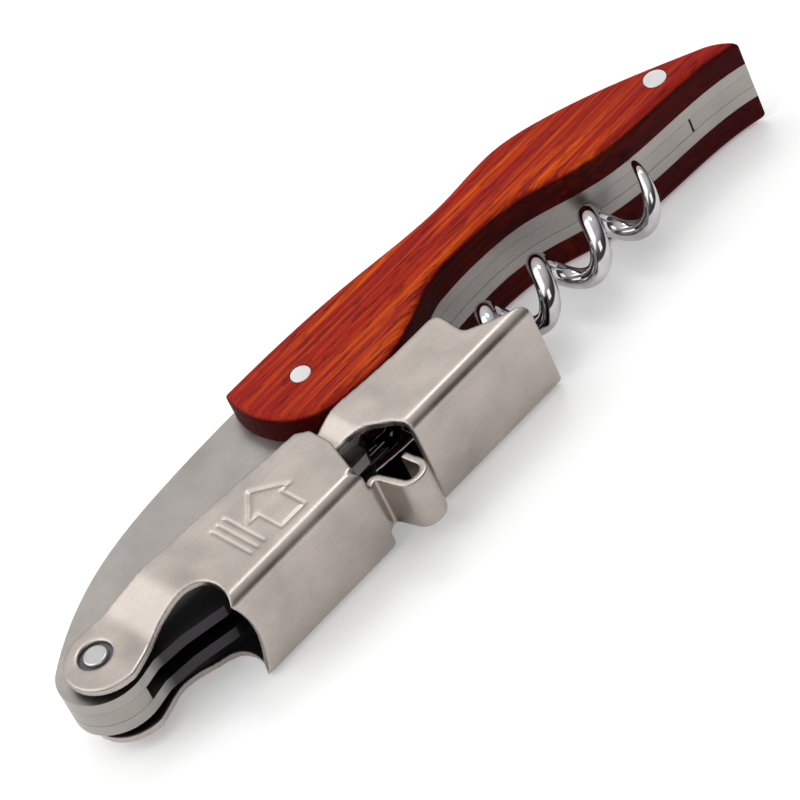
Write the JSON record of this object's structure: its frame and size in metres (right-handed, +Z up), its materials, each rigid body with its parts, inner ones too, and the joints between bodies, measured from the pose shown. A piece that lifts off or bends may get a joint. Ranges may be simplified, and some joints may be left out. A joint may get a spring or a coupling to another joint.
{
  "type": "waiters corkscrew",
  "caption": "Folding waiter's corkscrew with wooden scales on steel liners, double-step folded-steel lever, pivoting worm and a folding serrated foil blade.",
  "frame": {"origin": "bottom centre of the folded corkscrew lying on its side", "axes": "+X along the handle from the lever's pivot to the handle tip, +Y towards the handle's back, away from the levers, +Z up through the thickness"},
  "size_m": [0.12, 0.0318, 0.0143],
  "materials": {
    "lever_steel": "satin brushed",
    "liner_steel": "satin",
    "spacer_steel": "satin",
    "spring_steel": "satin",
    "rivet_metal": "bright satin",
    "pin_steel": "turned",
    "bush_steel": "dark turned",
    "blade_steel": "satin ground",
    "worm_chrome": "polished",
    "scale_wood": "oiled satin"
  },
  "bodies": {
    "handle": {"near_liner": "liner_steel", "far_liner": "liner_steel", "near_scale": "scale_wood", "far_scale": "scale_wood", "front_spacer": "spacer_steel", "tip_spacer": "spacer_steel", "blade_spring": "spring_steel", "front_rivet": "rivet_metal", "blade_pivot_rivet": "rivet_metal", "spring_pin": "pin_steel", "tip_pin": "pin_steel", "worm_pin": "pin_steel", "lever_pin": "pin_steel", "near_pivot_bush": "bush_steel", "far_pivot_bush": "bush_steel"},
    "main_lever": {"main_lever": "lever_steel", "near_hinge_stud": "pin_steel", "far_hinge_stud": "pin_steel"},
    "second_lever": {"second_lever": "lever_steel"},
    "worm": {"worm": "worm_chrome"},
    "foil_cutter": {"foil_cutter": "blade_steel"}
  },
  "joints": [
    {"name": "lever_swing", "type": "hinge", "parent": "handle", "child": "main_lever", "pos_m": [-0.05399, 0.00088, 0.00715], "axis": [0, 0, -1], "range_deg": [0, 170]},
    {"name": "second_lever_swing", "type": "hinge", "parent": "main_lever", "child": "second_lever", "pos_m": [-0.02549, -0.00713, 0.00715], "axis": [0, 0, -1], "range_deg": [0, 35]},
    {"name": "worm_swing", "type": "hinge", "parent": "handle", "child": "worm", "pos_m": [-0.01649, -0.00302, 0.00715], "axis": [0, 0, -1], "range_deg": [0, 95]},
    {"name": "foil_cutter_swing", "type": "hinge", "parent": "handle", "child": "foil_cutter", "pos_m": [0.05001, 0.00088, 0.00715], "axis": [0, 0, -1], "range_deg": [0, 140]}
  ],
  "couplings": [
    {"joint": "worm_swing", "follows": "lever_swing", "ratio": 0.55}
  ]
}
